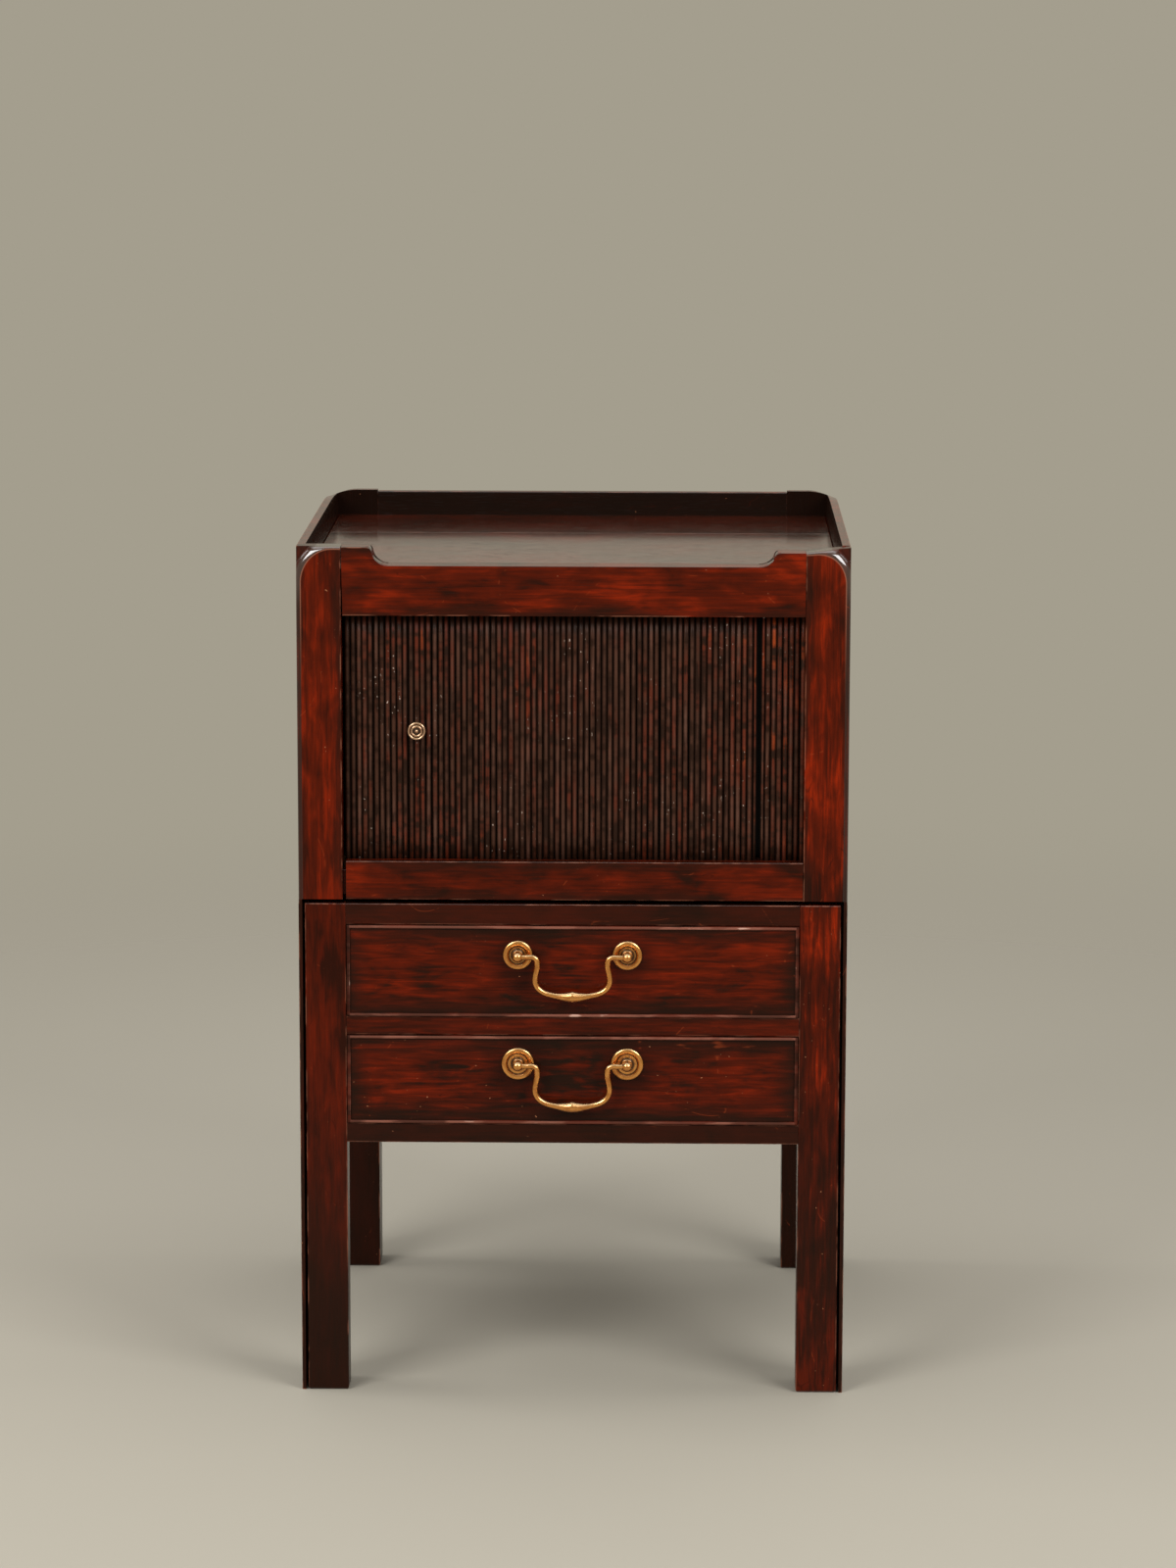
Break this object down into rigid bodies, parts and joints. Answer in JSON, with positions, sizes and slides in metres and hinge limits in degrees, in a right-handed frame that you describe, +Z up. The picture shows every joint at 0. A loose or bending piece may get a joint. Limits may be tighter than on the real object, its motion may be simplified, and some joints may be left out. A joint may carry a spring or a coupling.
{
  "type": "night commode",
  "caption": "Tray-top wooden night commode with a sliding reeded tambour door, a pull-out seat base behind false drawer fronts, split front legs and swan-neck bail handles.",
  "frame": {"origin": "on the floor, below the middle of the bounding box, handles included", "axes": "+X to the right along the front, +Y from the front to the back, +Z up"},
  "size_m": [0.508, 0.4862, 0.799],
  "materials": {
    "mahogany": "polished",
    "reeded_wood": "polished, worn",
    "inside_wood": "bare, aged",
    "canvas": "plain",
    "brass": "aged, polished",
    "ceramic": "glossy"
  },
  "bodies": {
    "carcass": {"side_board_left": "mahogany", "side_board_right": "mahogany", "front_post_left": "mahogany", "front_post_right": "mahogany", "rear_leg_left": "mahogany", "rear_leg_right": "mahogany", "back_board": "mahogany", "top_rail": "mahogany", "case_rail": "mahogany", "cupboard_floor": "inside_wood", "cupboard_ceiling": "inside_wood", "tray_board": "mahogany", "tray_rear_board": "mahogany", "door_liner": "inside_wood", "runner_left": "inside_wood", "runner_right": "inside_wood", "kicker_left": "inside_wood", "kicker_right": "inside_wood", "stop_block_left": "inside_wood", "stop_block_right": "inside_wood", "out_stop_cleat": "inside_wood", "floor_glue_blocks": "inside_wood", "tambour_reeds": "reeded_wood", "tambour_canvas": "canvas"},
    "tambour": {"tambour_lead_board": "reeded_wood", "tambour_knob": "brass", "tambour_knob_nut": "brass"},
    "pull_out": {"pull_out_leg_left": "mahogany", "pull_out_leg_right": "mahogany", "pull_out_top_rail": "mahogany", "pull_out_mid_rail": "mahogany", "pull_out_bottom_rail": "mahogany", "upper_drawer_front": "mahogany", "lower_drawer_front": "mahogany", "upper_cock_bead": "mahogany", "lower_cock_bead": "mahogany", "pull_out_side_left": "inside_wood", "pull_out_side_right": "inside_wood", "pull_out_back": "inside_wood", "seat_board": "mahogany", "out_stop_catches": "inside_wood", "seat_glue_blocks": "inside_wood", "pan": "ceramic", "upper_rose_left": "brass", "upper_rose_right": "brass", "lower_rose_left": "brass", "lower_rose_right": "brass", "upper_handle_post_left": "brass", "upper_handle_post_right": "brass", "lower_handle_post_left": "brass", "lower_handle_post_right": "brass", "handle_nuts": "brass"},
    "upper_bail": {"upper_bail": "brass"},
    "lower_bail": {"lower_bail": "brass"}
  },
  "joints": [
    {"name": "tambour_slide", "type": "slide", "parent": "carcass", "child": "tambour", "axis": [1, 0, 0], "range_m": [0, 0.347], "deforming": ["tambour_reeds", "tambour_canvas"]},
    {"name": "base_slide", "type": "slide", "parent": "carcass", "child": "pull_out", "axis": [0, -1, 0], "range_m": [0, 0.325]},
    {"name": "upper_bail_swing", "type": "hinge", "parent": "pull_out", "child": "upper_bail", "pos_m": [0, -0.23788, 0.4193], "axis": [-1, 0, 0], "range_deg": [0, 100]},
    {"name": "lower_bail_swing", "type": "hinge", "parent": "pull_out", "child": "lower_bail", "pos_m": [0, -0.23788, 0.31605], "axis": [-1, 0, 0], "range_deg": [0, 100]}
  ]
}
